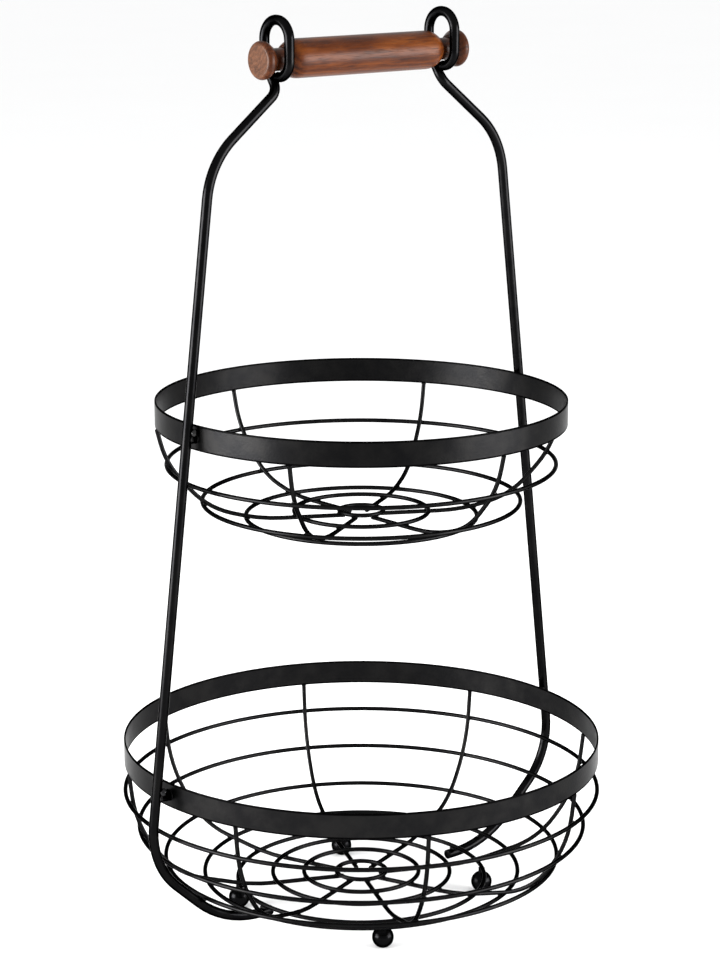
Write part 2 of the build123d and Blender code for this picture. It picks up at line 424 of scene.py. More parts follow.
@dataclass(frozen=True)
class PaleFloor:
    """Plain pale studio floor."""

    name: str = "pale_floor"
    shaded: Colour = (0.91605, 0.91605, 0.91605)
    colour: Colour = (0.93, 0.93, 0.93)
    clouds: Pattern = Pattern(0.4)
    roughness: float = 0.9
    specular: float = 0.1

    def material(self) -> bpy.types.Material:
        """Makes the finish.

        Returns:
            The material.
        """
        graph = ShaderGraph(self.name)
        colour = graph.mix(graph.noise(self.clouds), self.shaded, self.colour)
        return graph.surface({
            "Base Color": colour, "Roughness": self.roughness, "Specular IOR Level": self.specular})


Finish = CoatedSteel | StainedWood


@cache
def material_of(finish: Finish | PaleFloor) -> bpy.types.Material:
    """The finish's material, made once."""
    return finish.material()


# Bent and turned stock


class Former:
    """Pulls a section or a single point along runs and round bends, and leaves its surface behind."""

    def __init__(self, mesh: bmesh.types.BMesh) -> None:
        """Takes hold of all edges and vertices of a mesh, which are what is pulled."""
        self.mesh = mesh
        self.moving = [*mesh.verts, *mesh.edges]

    def run(self, shift: Vector) -> None:
        """Pulls straight on, as a bend of no angle."""
        self.turn(ORIGIN, AXIS_Z, 0, 1, shift)

    def turn(self, centre: Vector, axis: Vector, angle: float, steps: int, shift: Vector = ORIGIN) -> None:
        """Pulls round a bend, after which the moved copy is held; a full turn joins its end to its start.

        Args:
            centre: Middle of the bend.
            axis: Direction of the bend's axis.
            angle: Angle that is turned through.
            steps: Count of its flat steps.
            shift: How far it also goes straight on.
        """
        result = bmesh.ops.spin(
            self.mesh, geom=self.moving, cent=centre, axis=axis, dvec=shift, angle=angle, steps=steps,
            use_merge=angle == FULL_TURN, use_normal_flip=False, use_duplicate=False)
        self.moving = list(result["geom_last"])


@dataclass(frozen=True)
class Bend:
    """One round bend between two straight runs."""

    start: Vector
    end: Vector
    centre: Vector
    axis: Vector
    angle: float
    radius: float

    @property
    def length(self) -> float:
        """Length of its arc."""
        return self.angle * self.radius


@dataclass(frozen=True)
class BentLine:
    """Straight runs joined by tangent bends, each no larger than its runs have room for."""

    points: tuple[Vector, ...]
    radii: tuple[float, ...]
    step_angle: float = radians(5)
    guard: float = 0.15 * MM
    room_share: float = 0.98

    @classmethod
    def in_section(
        cls, points: Iterable[tuple[float, float]], radii: tuple[float, ...], **settings: float
    ) -> "BentLine":
        """A line in the XZ plane, from the X and Z of each point."""
        return cls(tuple(Vector((x, 0, z)) for x, z in points), radii, **settings)

    def _runs(self) -> list[Vector]:
        """The way from each point to the next."""
        return [after - before for before, after in zip(self.points, self.points[1:])]

    def _fitted(self, halves: Sequence[float]) -> list[float]:
        """Bend radii that the runs have room for.

        Args:
            halves: Half of each corner's turn.

        Returns:
            One radius for each corner.
        """
        reaches = [0.0, *(radius * tan(half) for radius, half in zip(self.radii, halves)), 0.0]
        shares = [
            min(1.0, self.room_share * run.length / max(reaches[i] + reaches[i + 1], MERGE_DISTANCE))
            for i, run in enumerate(self._runs())
        ]
        return [radius * min(shares[i], shares[i + 1]) for i, radius in enumerate(self.radii)]

    def bends(self) -> list[Bend]:
        """Works out where the bends lie.

        Returns:
            All bends, in order along the line.
        """
        ways = [run.normalized() for run in self._runs()]
        halves = [arriving.angle(leaving) / 2 for arriving, leaving in zip(ways, ways[1:])]
        corners = zip(self.points[1:], ways, ways[1:], halves, self._fitted(halves))
        found = []
        for corner, arriving, leaving, half, radius in corners:
            reach = radius * tan(half)
            axis = arriving.cross(leaving).normalized()
            start = corner - arriving * reach
            centre = start + axis.cross(arriving) * radius
            found.append(Bend(start, corner + leaving * reach, centre, axis, 2 * half, radius))
        return found

    def follow(self, former: Former) -> None:
        """Pulls a former's section along the whole line.

        Args:
            former: Holds a section or a point at the line's first point.
        """
        place = self.points[0]
        for bend in self.bends():
            self._run_guarded(former, bend.start - place)
            former.turn(bend.centre, bend.axis, bend.angle, max(2, ceil(bend.angle / self.step_angle)))
            place = bend.end
        self._run_guarded(former, self.points[-1] - place)

    def _run_guarded(self, former: Former, shift: Vector) -> None:
        """Pulls a straight run, with a short step at each end where there is room, so that it looks flat.

        Args:
            former: Holds a section or a point.
            shift: Length and direction of the run.
        """
        step = shift.normalized() * self.guard
        parts = (step, shift - 2 * step, step) if shift.length > 4 * self.guard else (shift,)
        for part in parts:
            former.run(part)

    def place_at(self, share: float) -> tuple[Vector, Vector]:
        """Point and direction at a share of the line's length.

        Args:
            share: Share of the length, from 0 to 1.

        Returns:
            The point and the direction of the line there.
        """
        bends, ways = self.bends(), [run.normalized() for run in self._runs()]
        starts = [self.points[0], *(bend.end for bend in bends)]
        ends = [*(bend.start for bend in bends), self.points[-1]]
        runs = [(end - start).length for start, end in zip(starts, ends)]
        left = share * (sum(runs) + sum(bend.length for bend in bends))
        for bend, start, run, way in zip(bends, starts, runs, ways):
            if left <= run:
                return start + way * left, way
            left -= run
            if left <= bend.length:
                turn = Matrix.Rotation(left / bend.radius, 3, bend.axis)
                return bend.centre + turn @ (bend.start - bend.centre), turn @ way
            left -= bend.length
        return starts[-1] + ways[-1] * left, ways[-1]


def steps_for(radius: float, flatness: float = 0.03 * MM) -> int:
    """Steps, a multiple of eight, whose flats lie no farther than this inside the true circle."""
    return 8 * ceil(pi / acos(1 - flatness / radius) / 8)


@dataclass(frozen=True)
class WireStock:
    """Round steel wire, to be bent into lengths or rolled into hoops."""

    diameter: float
    sides: int
    end_chamfer: float

    @property
    def radius(self) -> float:
        """Half its diameter."""
        return self.diameter / 2

    def _section(self, place: Vector, direction: Vector) -> bmesh.types.BMesh:
        """Draws the wire's section.

        Args:
            place: Its centre.
            direction: The way along the wire there.

        Returns:
            A mesh that holds the section alone.
        """
        mesh = bmesh.new()
        facing = AXIS_Z.rotation_difference(direction).to_matrix().to_4x4()
        matrix = Matrix.Translation(place) @ facing
        bmesh.ops.create_circle(
            mesh, cap_ends=False, segments=self.sides, radius=self.radius, matrix=matrix)
        return mesh

    def bent(self, line: BentLine) -> bmesh.types.BMesh:
        """Bends one length, with its cut ends closed and eased.

        Args:
            line: The wire's own centre line.

        Returns:
            The wire's mesh.
        """
        mesh = self._section(line.points[0], line.points[1] - line.points[0])
        line.follow(Former(mesh))
        rims = [edge for edge in mesh.edges if edge.is_boundary]
        bmesh.ops.holes_fill(mesh, edges=rims, sides=0)
        bmesh.ops.bevel(
            mesh, geom=rims, offset=self.end_chamfer, offset_type="OFFSET", segments=2, profile=0.5,
            affect="EDGES", material=-1)
        return mesh

    def hoop(self, radius: float, height: float) -> bmesh.types.BMesh:
        """Rolls a level hoop about the basket's middle.

        Args:
            radius: Radius of the hoop at its wire's centre.
            height: Height of the wire's centre.

        Returns:
            The hoop's mesh.
        """
        mesh = self._section(Vector((radius, 0, height)), AXIS_Y)
        Former(mesh).turn(ORIGIN, AXIS_Z, FULL_TURN, steps_for(radius))
        return mesh


def start_point(place: Iterable[float]) -> bmesh.types.BMesh:
    """A mesh with one vertex, from which a former pulls an outline.

    Args:
        place: Place of the vertex.

    Returns:
        The mesh.
    """
    mesh = bmesh.new()
    bmesh.ops.create_vert(mesh, co=place)
    return mesh


def turn_outline(mesh: bmesh.types.BMesh, steps: int) -> None:
    """Turns a half section in the XZ plane about Z.

    Args:
        mesh: Holds the half section, which ends where it starts or on the axis.
        steps: Count of flats round the piece.
    """
    bmesh.ops.remove_doubles(mesh, verts=mesh.verts, dist=MERGE_DISTANCE)
    Former(mesh).turn(ORIGIN, AXIS_Z, FULL_TURN, steps)
    bmesh.ops.remove_doubles(mesh, verts=mesh.verts, dist=MERGE_DISTANCE)


def turned(line: BentLine, steps: int) -> bmesh.types.BMesh:
    """Turns a half section about Z.

    Args:
        line: The half section in the XZ plane.
        steps: Count of flats round the piece.

    Returns:
        The turned mesh.
    """
    mesh = start_point(line.points[0])
    line.follow(Former(mesh))
    turn_outline(mesh, steps)
    return mesh


def lay_along_x(mesh: bmesh.types.BMesh, place: Triple) -> None:
    """Turns what was made about Z to lie along X, and moves it to its place."""
    bmesh.ops.rotate(mesh, verts=mesh.verts, cent=ORIGIN, matrix=Matrix.Rotation(pi / 2, 3, "Y"))
    bmesh.ops.translate(mesh, verts=mesh.verts, vec=place)


# The basket


def add_bead(
    mesh: bmesh.types.BMesh, place: Vector, outward: Vector, along: Vector, sizes: Triple,
    flats: tuple[int, int] = (8, 6)
) -> None:
    """Adds one weld bead, a squashed ball.

    Args:
        mesh: The mesh that it goes into.
        place: Its middle.
        outward: Direction from one wire's centre to the other's.
        along: Direction of one of the wires, square to outward.
        sizes: Its half sizes outward, along, and across.
        flats: Count of its flats round it and from pole to pole.
    """
    axes = (outward.normalized(), along.normalized(), outward.cross(along).normalized())
    matrix = Matrix.Translation(place) @ Matrix(axes).transposed().to_4x4() @ Matrix.Diagonal((*sizes, 1))
    bmesh.ops.create_uvsphere(mesh, u_segments=flats[0], v_segments=flats[1], radius=1, matrix=matrix)


def add_piece(
    mesh: bmesh.types.BMesh, name: str, body: Body, finish: Finish, stands_for: Sequence[str] = (),
    painted_edge_shade: CoatedSteel | None = None
) -> None:
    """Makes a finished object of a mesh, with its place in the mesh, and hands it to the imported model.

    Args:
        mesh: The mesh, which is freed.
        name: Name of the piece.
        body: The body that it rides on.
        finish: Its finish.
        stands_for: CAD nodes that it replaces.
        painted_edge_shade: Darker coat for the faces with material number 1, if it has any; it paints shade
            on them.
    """
    bmesh.ops.remove_doubles(mesh, verts=mesh.verts, dist=MERGE_DISTANCE)
    bmesh.ops.dissolve_degenerate(mesh, edges=mesh.edges, dist=MERGE_DISTANCE)
    bmesh.ops.recalc_face_normals(mesh, faces=mesh.faces)
    for face in mesh.faces:
        face.smooth = True
    for edge in mesh.edges:
        edge.smooth = edge.calc_face_angle(0) < SHARP_ANGLE
    data = bpy.data.meshes.new(name)
    mesh.to_mesh(data)
    mesh.free()
    data.materials.append(material_of(finish))
    if painted_edge_shade:
        data.materials.append(material_of(painted_edge_shade))
    piece = bpy.data.objects.new(name, data)
    bpy.context.scene.collection.objects.link(piece)
    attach(piece, body.value)
    if stands_for:
        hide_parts(*stands_for)
    sizes = [round(size / MM, 1) for size in piece.dimensions]
    log.info("%s: %d faces, %s mm", name, len(data.polygons), sizes)


@dataclass
class Bowl:
    """One wire bowl: a flat rim band, bent ribs, and rings on both sides of the ribs.

    The outline's corners are shares of its width and depth, the rings' places are shares of a rib's length,
    and the beads' sizes and the ribs' bite into the band are shares of half the wire.
    """

    name: str
    rim_radius: float
    rim_height: float
    floor_height: float
    outline_shares: tuple[tuple[float, float], ...]
    outline_bends: tuple[float, ...]
    rib_count: int
    first_rib: float
    rib_end_radius: float
    outer_rings: dict[str, float]
    floor_rings: dict[str, float]
    wire_finish: CoatedSteel
    band_finish: CoatedSteel
    # Darker coat for the band's rounded edges: painted shade.
    painted_edge_shade: CoatedSteel
    wire: WireStock = WireStock(2.5 * MM, 12, 0.3 * MM)
    cad_wire_sides: int = 4
    band_height: float = 14 * MM
    band_thickness: float = 1 * MM
    band_edge_round: float = 0.42 * MM
    band_edge_step: float = radians(22.5)
    band_border: float = 0.6 * MM
    band_flatness: float = 0.02 * MM
    weld_gap: float = 0.05 * MM
    rib_bite: float = 0.25
    crossing_bead: Triple = (0.62, 1.32, 1.32)
    rib_top_bead: Triple = (0.5, 0.95, 1.2)

    @property
    def wire_reach(self) -> float:
        """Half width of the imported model's flat-sided wire, which has the round wire's own area."""
        return self.wire.radius * sqrt(pi / (self.cad_wire_sides * tan(pi / self.cad_wire_sides)))

    @property
    def band_edge(self) -> float:
        """Height of the band's lower edge."""
        return self.rim_height - self.band_height

    @property
    def band_middle(self) -> float:
        """Height of the band's middle."""
        return self.rim_height - self.band_height / 2

    def outline(self) -> BentLine:
        """Draws a rib in the XZ plane.

        Returns:
            The rib's centre line, from the band's lower edge to near the bowl's middle.
        """
        start_radius = self.rim_radius - self.band_thickness / 2
        first_across, first_down = self.outline_shares[0]
        lean = atan2(start_radius * (1 - first_across), (self.band_edge - self.floor_height) * first_down)
        start_height = self.band_edge - self.weld_gap - self.wire_reach * sin(lean)
        depth = start_height - self.floor_height
        corners = [
            (start_radius * across, start_height - depth * down) for across, down in self.outline_shares]
        points = ((start_radius, start_height), *corners, (self.rib_end_radius, self.floor_height))
        return BentLine.in_section(points, self.outline_bends)

    def ring_place(self, share: float, side: RingSide) -> tuple[Vector, Vector, Vector]:
        """Where a ring crosses the rib that lies over +X.

        Args:
            share: Share of the rib's length.
            side: The side of the rib.

        Returns:
            Centre of the ring's wire, direction outward across the rib, and direction along the rib.
        """
        point, along = self.outline().place_at(share)
        outward = Vector((-along.z, 0, along.x)) * side.value
        return point + outward * (2 * self.wire_reach + self.weld_gap), outward, along

    def outer_centres(self) -> dict[str, Vector]:
        """Centre of each outer ring's wire over +X, by the ring's name."""
        return {name: self.ring_place(share, RingSide.OUTSIDE)[0] for name, share in self.outer_rings.items()}

    def _all_rings(self) -> list[tuple[str, float, RingSide]]:
        """Name, share and side of each ring."""
        outer = [(name, share, RingSide.OUTSIDE) for name, share in self.outer_rings.items()]
        return outer + [(name, share, RingSide.INSIDE) for name, share in self.floor_rings.items()]

    def _rib_turn(self, number: int) -> Matrix:
        """Turn that takes a rib from over +X to its place."""
        return Matrix.Rotation(self.first_rib + FULL_TURN * number / self.rib_count, 3, "Z")

    def build(self) -> None:
        """Makes the band, the rings, the ribs and their welds."""
        self._build_band()
        for ring, share, side in self._all_rings():
            centre = self.ring_place(share, side)[0]
            self._add_wire(self.wire.hoop(centre.x, centre.z), ring)
        for number in range(self.rib_count):
            rib = self.wire.bent(self._rib_line())
            bmesh.ops.rotate(rib, verts=rib.verts, cent=ORIGIN, matrix=self._rib_turn(number))
            self._add_wire(rib, f"rib_{number + 1}")
        self._build_welds()

    def _add_wire(self, mesh: bmesh.types.BMesh, part: str) -> None:
        """Adds a ring or a rib in place of its CAD node."""
        node = f"{self.name}_{part}"
        add_piece(mesh, f"{node}_wire", Body.FRAME, self.wire_finish, [node])

    def _rib_line(self) -> BentLine:
        """Runs a rib up to the band's lower edge, so that its weld closes.

        Returns:
            The rib's centre line.
        """
        line = self.outline()
        rise = (line.points[0] - line.points[1]).normalized()
        top = line.points[0] + rise * (self.weld_gap + self.wire_reach * self.rib_bite)
        return BentLine((top, *line.points[1:]), line.radii)

    def _build_band(self) -> None:
        """Rolls the rim band from strip with rounded edges, whose faces take a darker coat that paints shade
        on them.
        """
        inner, outer = self.rim_radius - self.band_thickness, self.rim_radius
        top, middle, bottom = self.rim_height, self.band_middle, self.band_edge
        corners = ((inner, top), (outer, top), (outer, bottom), (inner, bottom))
        section = BentLine.in_section(
            ((inner, middle), *corners, (inner, middle)), (self.band_edge_round,) * len(corners),
            step_angle=self.band_edge_step, guard=self.band_border)
        hoop = turned(section, steps_for(self.rim_radius, self.band_flatness))
        # Faces beyond the flat part, on the rounded top and bottom edges, take the darker second coat:
        # painted shade.
        flat_reach = self.band_height / 2 - self.band_edge_round - self.band_border
        for face in hoop.faces:
            face.material_index = int(abs(face.calc_center_median().z - middle) > flat_reach)
        node = f"{self.name}_band"
        add_piece(hoop, f"{node}_strip", Body.FRAME, self.band_finish, [node], self.painted_edge_shade)

    def _build_welds(self) -> None:
        """Puts a bead at each crossing and at the top of each rib."""
        mesh = bmesh.new()
        crossing = tuple(share * self.wire.radius for share in self.crossing_bead)
        rib_top = tuple(share * self.wire.radius for share in self.rib_top_bead)
        top = self.outline().points[0] + AXIS_Z * self.weld_gap
        for number in range(self.rib_count):
            turn = self._rib_turn(number)
            for _, share, side in self._all_rings():
                centre, outward, along = self.ring_place(share, side)
                middle = centre - outward * (self.wire_reach + self.weld_gap / 2)
                add_bead(mesh, turn @ middle, turn @ outward, turn @ along, crossing)
            add_bead(mesh, turn @ top, AXIS_Z, turn @ AXIS_X, rib_top)
        add_piece(mesh, f"{self.name}_bowl_welds", Body.FRAME, self.wire_finish)


@dataclass
class Feet:
    """Ball feet, each on a short neck under a bowl's base ring."""

    bowl: Bowl
    finish: CoatedSteel
    ball_diameter: float = 12.2 * MM
    neck_diameter: float = 3.6 * MM
    flat_depth: float = 0.14 * MM
    neck_fillet: float = 0.7 * MM
    weld_overlap: float = 0.8 * MM
    count: int = 4
    first_angle: float = radians(-30)
    steps: int = 32

    def build(self) -> None:
        """Makes each foot in its place."""
        ring = self.bowl.outer_centres()["base_ring"]
        for number in range(self.count):
            mesh = self._foot(ring.z - self.bowl.wire.radius - self.bowl.weld_gap + self.weld_overlap)
            turn = Matrix.Rotation(self.first_angle + FULL_TURN * number / self.count, 3, "Z")
            bmesh.ops.translate(mesh, verts=mesh.verts, vec=(ring.x, 0, 0))
            bmesh.ops.rotate(mesh, verts=mesh.verts, cent=ORIGIN, matrix=turn)
            node = f"foot_{number + 1}"
            add_piece(mesh, f"{node}_ball", Body.FRAME, self.finish, [node])

    def _foot(self, neck_top: float) -> bmesh.types.BMesh:
        """Turns one foot about the basket's axis, from a ball's arc and a straight neck.

        Args:
            neck_top: Height of the neck's top.

        Returns:
            The foot, cut level with the floor.
        """
        radius, neck = self.ball_diameter / 2, self.neck_diameter / 2
        middle = Vector((0, 0, radius - self.flat_depth))
        ball_top = middle.z + sqrt(radius**2 - neck**2)
        mesh = start_point((0, 0, -self.flat_depth))
        former = Former(mesh)
        former.turn(middle, -AXIS_Y, pi - asin(neck / radius), self.steps // 2)
        former.run(Vector((0, 0, neck_top - ball_top)))
        former.run(Vector((-neck, 0, 0)))
        turn_outline(mesh, self.steps)
        root = [
            edge for edge in mesh.edges
            if all(abs(vertex.co.z - ball_top) < MERGE_DISTANCE for vertex in edge.verts)
        ]
        bmesh.ops.bevel(
            mesh, geom=root, offset=self.neck_fillet, offset_type="OFFSET", segments=3, profile=0.5,
            affect="EDGES", material=-1)
        cut = bmesh.ops.bisect_plane(
            mesh, geom=[*mesh.verts, *mesh.edges, *mesh.faces], plane_co=ORIGIN, plane_no=AXIS_Z,
            clear_inner=True)["geom_cut"]
        rim = [part for part in cut if isinstance(part, bmesh.types.BMEdge)]
        bmesh.ops.holes_fill(mesh, edges=rim, sides=0)
        return mesh


@dataclass
class CarryingRods:
    """The two bent rods with open eyes for the handle, and the stubs that join them to the bands.

    The bends go from the foot end up to the eye's leg. Each bead's sizes are outward, along and across.
    """

    lower: Bowl
    upper: Bowl
    finish: CoatedSteel
    # Lighter copy of the rod coat for the weld beads, which paints brighter glints on them.
    glint_weld_finish: CoatedSteel
    wire: WireStock = WireStock(5.5 * MM, 20, 0.5 * MM)
    overall_height: float = 508 * MM
    seat_gap: float = 0.3 * MM
    upper_stub_length: float = 2.4 * MM
    lower_stub_length: float = 5.7 * MM
    stub_diameter: float = 6.2 * MM
    stub_flare: float = 0.9 * MM
    stub_sunk: float = 0.25 * MM
    stub_short_of_centre: float = 1.1 * MM
    stub_rounds: tuple[float, float] = (0.1 * MM, 0.4 * MM)
    stub_step: float = radians(15)
    stub_steps: int = 32
    shoulder_angle: float = radians(38)
    under_sweep_angle: float = radians(42.5)
    foot_end_overrun: float = 5 * MM
    bend_radii: tuple[float, ...] = (65 * MM, 45 * MM, 45 * MM, 9 * MM, 12 * MM)
    eye_top_bend_share: float = 0.97
    eye_tip_bend: float = 8.8 * MM
    eye_side_clearance: float = 1.85 * MM
    handle_travel: float = 11.5 * MM
    leg_clearance: float = 0.45 * MM
    eye_leg_drop: float = 0.7 * MM
    neck_radius: float = 6 * MM
    barrel_length: float = 106 * MM
    barrel_side_gap: float = 1.75 * MM
    saddle_depth: float = 2.0625 * MM
    saddle_bead: Triple = (2.4 * MM, 3.0 * MM, 3.2 * MM)
    spill_shift: Triple = (-1.2375 * MM, -1.9 * MM, 3.0 * MM)
    spill_bead: Triple = (2.4 * MM, 2.3 * MM, 2.4 * MM)
    foot_bead: Triple = (0.9 * MM, 2.4 * MM, 2.2 * MM)
    sweep_bead: Triple = (0.8 * MM, 1.9 * MM, 2.1 * MM)
    bead_flats: tuple[int, int] = (12, 8)

    @property
    def eye_x(self) -> float:
        """Distance of an eye from the middle of the handle."""
        return self.barrel_length / 2 + self.barrel_side_gap + self.wire.radius

    @property
    def eye_top(self) -> float:
        """Height of the eye's top at the wire's centre."""
        return self.overall_height - self.wire.radius

    @property
    def handle_height(self) -> float:
        """Height of the handle's axis where it rests in the eyes."""
        return self.eye_top - self.wire.radius - self.seat_gap - self.handle_travel - self.neck_radius

    @property
    def outward(self) -> Vector:
        """Direction square to the right rod's under sweep, away from the bowl."""
        return Vector((sin(self.under_sweep_angle), 0, -cos(self.under_sweep_angle)))

    @property
    def nearest_ring(self) -> Vector:
        """Centre, over +X, of the ring that the under sweep passes closest to."""
        return max(self.lower.outer_centres().values(), key=self.outward.dot)

    def _side_line(self) -> tuple[float, float]:
        """Lays the rod's straight side past both bands at the length of their stubs.

        Returns:
            Its slope, and its distance from the middle at the floor.
        """
        upper_reach = self.upper.rim_radius + self.upper_stub_length + self.wire.radius
        lower_reach = self.lower.rim_radius + self.lower_stub_length + self.wire.radius
        slope = (lower_reach - upper_reach) / (self.upper.band_middle - self.lower.band_middle)
        return slope, lower_reach + slope * self.lower.band_middle

    def side_place(self, height: float) -> Vector:
        """Point of the right rod's straight side at a height."""
        slope, at_floor = self._side_line()
        return Vector((at_floor - slope * height, 0, height))

    def _eye_points(self) -> list[Vector]:
        """Draws the eye, square to the handle, with its leg close past the neck and its tip close to the leg.

        Returns:
            The top of the stem, then the eye's corners and its tip.
        """
        half = self.neck_radius + self.wire.radius + self.eye_side_clearance
        bottom = self.handle_height - self.neck_radius - self.seat_gap - self.wire.radius
        leg_top = self.handle_height - self.eye_leg_drop
        miss = self.neck_radius + self.wire.radius + self.leg_clearance
        heading = atan2(self.eye_leg_drop, -half) + asin(miss / hypot(half, self.eye_leg_drop))
        stem_top = leg_top - half * tan(heading)
        below = bottom - self.wire.radius - stem_top
        tip = (-below * cos(heading) - self.wire.radius - self.seat_gap) / -sin(heading)
        corners = (
            (0, stem_top), (half, leg_top), (half, self.eye_top), (-half, self.eye_top), (-half, bottom),
            (tip, bottom))
        return [Vector((self.eye_x, y, z)) for y, z in corners]

    def _side_points(self, stem_top: float) -> list[Vector]:
        """Draws the rod below its stem: foot run, under sweep, straight side and shoulder.

        Args:
            stem_top: Height of the stem's top.

        Returns:
            The foot end and the three corners above it.
        """
        slope, at_floor = self._side_line()
        base, thin = self.lower.outer_centres()["base_ring"], self.lower.wire.radius
        offset = self.nearest_ring.dot(self.outward) + thin + self.wire.radius + self.seat_gap
        knee = (at_floor * self.outward.x - offset) / (slope * self.outward.x - self.outward.z)
        foot = base.z - thin - self.lower.weld_gap - self.seat_gap / 2 - self.wire.radius
        ankle = (offset - foot * self.outward.z) / self.outward.x
        rise = tan(self.shoulder_angle)
        shoulder = (stem_top + rise * (self.eye_x - at_floor)) / (1 - rise * slope)
        foot_run = [Vector((x, 0, foot)) for x in (base.x - self.foot_end_overrun, ankle)]
        return [*foot_run, self.side_place(knee), self.side_place(shoulder)]

    def line(self) -> BentLine:
        """Draws the right rod.

        Returns:
            Its centre line, from its foot end to the tip of its eye.
        """
        eye = self._eye_points()
        top_bend = eye[1].y * self.eye_top_bend_share
        radii = (*self.bend_radii, top_bend, top_bend, self.eye_tip_bend)
        return BentLine((*self._side_points(eye[0].z), *eye), radii)

    def build(self) -> None:
        """Makes both rods, their four stubs and their welds."""
        for hand in Hand:
            side = hand.name.lower()
            self._add_mirrored(self.wire.bent(self.line()), hand, f"{side}_rod", "wire")
            for bowl in (self.upper, self.lower):
                self._add_mirrored(self._stub(bowl), hand, f"{side}_{bowl.name}_spacer", "stub")
        self._build_welds()

    def _add_mirrored(self, mesh: bmesh.types.BMesh, hand: Hand, node: str, form: str) -> None:
        """Adds what is drawn for the right end in place of its CAD node, mirrored for the left."""
        bmesh.ops.scale(mesh, verts=mesh.verts, vec=(hand.value, 1, 1))
        add_piece(mesh, f"{node}_{form}", Body.FRAME, self.finish, [node])

    def _stub(self, bowl: Bowl) -> bmesh.types.BMesh:
        """Turns a short stub between a band and the right rod, flared where it is welded to the band.

        Args:
            bowl: The bowl whose band it stands on.

        Returns:
            The stub's mesh.
        """
        radius = self.stub_diameter / 2
        length = self.side_place(bowl.band_middle).x - self.stub_short_of_centre - bowl.rim_radius
        flare = ((0, -self.stub_sunk), (radius + self.stub_flare, -self.stub_sunk), (radius, 0))
        rounds = (self.stub_rounds[0], self.stub_flare, self.stub_rounds[1])
        section = BentLine.in_section(
            (*flare, (radius, length), (0, length)), rounds, step_angle=self.stub_step)
        mesh = turned(section, self.stub_steps)
        lay_along_x(mesh, (bowl.rim_radius, 0, bowl.band_middle))
        return mesh

    def _build_welds(self) -> None:
        """Puts beads where the rods meet the stubs, the base ring and the ring that they pass closest to."""
        mesh = bmesh.new()
        thin, sweep = self.lower.wire.radius, self.outward.cross(AXIS_Y)
        under = self.lower.outer_centres()["base_ring"] - AXIS_Z * thin
        beside = self.nearest_ring + self.outward * thin
        beads = [
            (under, AXIS_Z, AXIS_X, self.foot_bead),
            (beside, self.outward, sweep, self.sweep_bead),
        ]
        for bowl in (self.upper, self.lower):
            saddle = self.side_place(bowl.band_middle) - AXIS_X * self.saddle_depth
            beads.append((saddle, AXIS_X, AXIS_Z, self.saddle_bead))
            beads.append((saddle + Vector(self.spill_shift), AXIS_X, AXIS_Z, self.spill_bead))
        for hand in Hand:
            flip = Matrix.Diagonal((hand.value, 1, 1))
            for place, outward, along, sizes in beads:
                add_bead(mesh, flip @ place, flip @ outward, flip @ along, sizes, self.bead_flats)
        add_piece(mesh, "rod_welds", Body.FRAME, self.glint_weld_finish)


